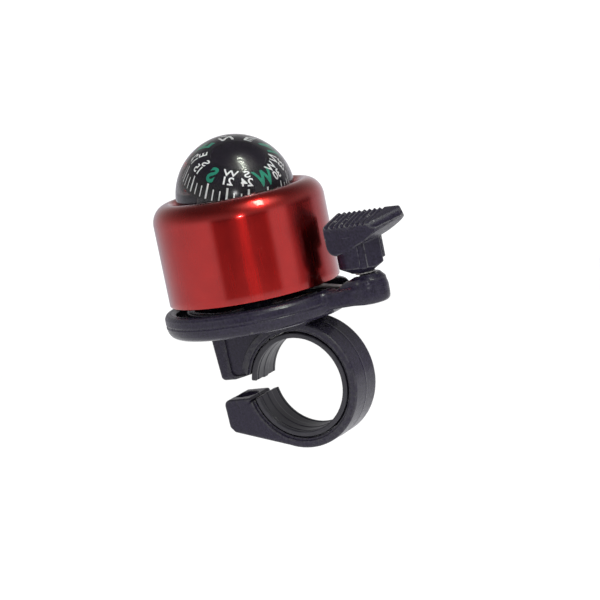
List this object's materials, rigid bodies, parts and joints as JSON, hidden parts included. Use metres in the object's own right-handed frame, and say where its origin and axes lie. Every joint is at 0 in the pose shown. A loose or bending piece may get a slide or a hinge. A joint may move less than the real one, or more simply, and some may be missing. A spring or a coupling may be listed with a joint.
{
  "type": "bicycle bell",
  "caption": "Handlebar bell with a cylindrical aluminium gong, a thumb lever that swings a striker inside it, a ball compass set in its top and an open band clamp.",
  "frame": {"origin": "centre of the handlebar hole in the clamp, in the middle of the clamp's width", "axes": "+Z from the handlebar towards the gong, along the gong's axis; +Y along the handlebar; +X towards the thumb lever"},
  "size_m": [0.0638, 0.0444, 0.0749],
  "materials": {
    "black_plastic": "moulded, fine grained, semi-matt purple-black",
    "gong_red": "spun aluminium, polished and red anodised",
    "rubber": "moulded rubber, matt dark grey",
    "steel": "zinc-plated or turned steel",
    "spring_steel": "tempered spring steel, oiled",
    "brass": "turned brass, dull",
    "gloss_black": "moulded, glossy black",
    "clear": "clear polished acrylic filled with clear liquid",
    "card": "black plastic printed with white scale, numbers and green letters",
    "jewel": "polished synthetic ruby",
    "magnet": "sintered ferrite ring",
    "foam": "adhesive foam pad",
    "nylon": "natural nylon"
  },
  "bodies": {
    "base": {"base_plate": "black_plastic", "clamp_body": "black_plastic", "clamp_liner": "rubber", "clamp_insert": "brass", "gong": "gong_red", "gong_screw": "steel", "gong_washer": "steel", "compass_pad": "foam", "compass_cup": "gloss_black", "compass_dome": "clear", "fill_plug": "nylon", "card_pin": "steel", "return_spring": "spring_steel"},
    "lever": {"lever": "black_plastic", "lever_shaft": "steel", "lever_washer": "steel", "shaft_clip": "spring_steel", "striker_hub": "steel"},
    "striker": {"striker_arm": "spring_steel", "striker_head": "brass", "striker_rivet": "steel"},
    "jewel": {"card_jewel": "jewel"},
    "card": {"compass_card": "card", "card_magnet": "magnet"}
  },
  "joints": [
    {"name": "lever_swing", "type": "hinge", "parent": "base", "child": "lever", "pos_m": [0.0203, 0, 0.02], "axis": [0, 0, 1], "range_deg": [0, 20], "stiffness_Nm_per_rad": 0.05, "springref_deg": -8.59},
    {"name": "striker_flex", "type": "hinge", "parent": "lever", "child": "striker", "pos_m": [0.0203, 0, 0.02], "axis": [0, 0, 1], "range_deg": [-3, 2], "stiffness_Nm_per_rad": 0.08},
    {"name": "card_tilt", "type": "hinge", "parent": "base", "child": "jewel", "pos_m": [-0.00924, 0, 0.04577], "axis": [0.1959, 0.9806, 0], "range_deg": [-42, 2]},
    {"name": "card_spin", "type": "hinge", "parent": "jewel", "child": "card", "pos_m": [-0.00924, 0, 0.04577], "axis": [0.3354, -0.067, 0.9397], "continuous": true}
  ]
}
